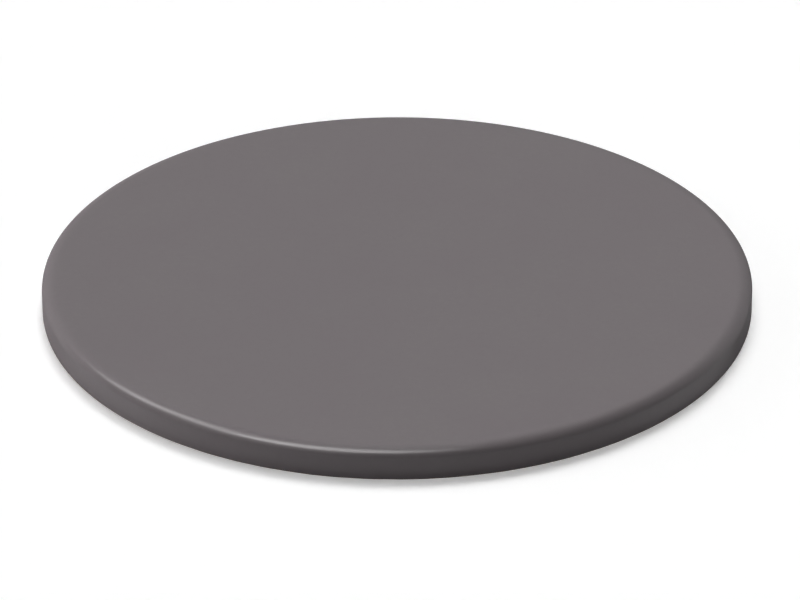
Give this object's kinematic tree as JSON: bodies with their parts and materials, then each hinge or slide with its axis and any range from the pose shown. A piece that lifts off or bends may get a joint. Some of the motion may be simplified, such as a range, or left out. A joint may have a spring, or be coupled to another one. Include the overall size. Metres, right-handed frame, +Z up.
{
  "type": "pizza stone",
  "caption": "Round flat baking slab of fired refractory ceramic with softly rounded edges, glazed over its face and rim and bare underneath, for baking pizza and bread.",
  "frame": {"origin": "centre of the flat resting face, so the stone stands on Z = 0", "axes": "+Z up through the slab's thickness and along its axis of symmetry, towards the glazed baking face; the slab is round, so +X and +Y are free"},
  "size_m": [0.36, 0.36, 0.016],
  "materials": {
    "bare_cordierite": "matte",
    "satin_glaze": "satin"
  },
  "bodies": {
    "root": {"stone_body": "bare_cordierite", "glaze_coat": "satin_glaze"}
  },
  "joints": []
}
